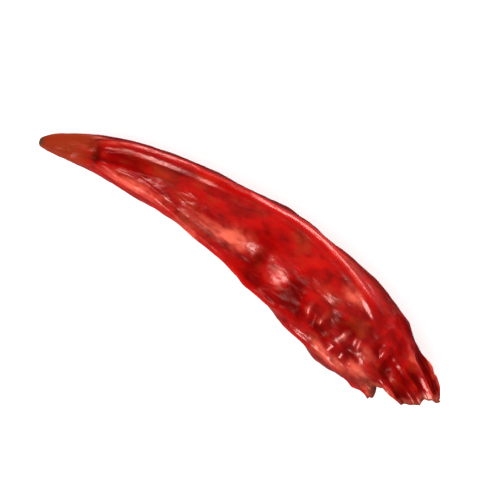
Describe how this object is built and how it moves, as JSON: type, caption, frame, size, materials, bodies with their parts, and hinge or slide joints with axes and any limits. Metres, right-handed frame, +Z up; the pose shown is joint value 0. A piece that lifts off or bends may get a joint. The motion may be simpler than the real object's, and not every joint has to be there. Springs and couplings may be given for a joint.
{
  "type": "dried chili pepper",
  "caption": "Dried red chili pepper without its stem, lying on its side, curved and shrivelled, with a torn crown that shows loose seeds.",
  "frame": {"origin": "middle of the pod's plan box, on the surface it lies on", "axes": "+X from the tip towards the torn crown, +Y towards the convex side, +Z up"},
  "size_m": [0.0712, 0.0166, 0.0106],
  "materials": {
    "skin": "dried glossy chili skin, deep red, darker in the folds, brown at the tip and orange at the torn crown",
    "seed": "dry pale yellow seed coat, satin"
  },
  "bodies": {
    "root": {"pod": "skin", "seed_1": "seed", "seed_2": "seed", "seed_3": "seed"}
  },
  "joints": []
}
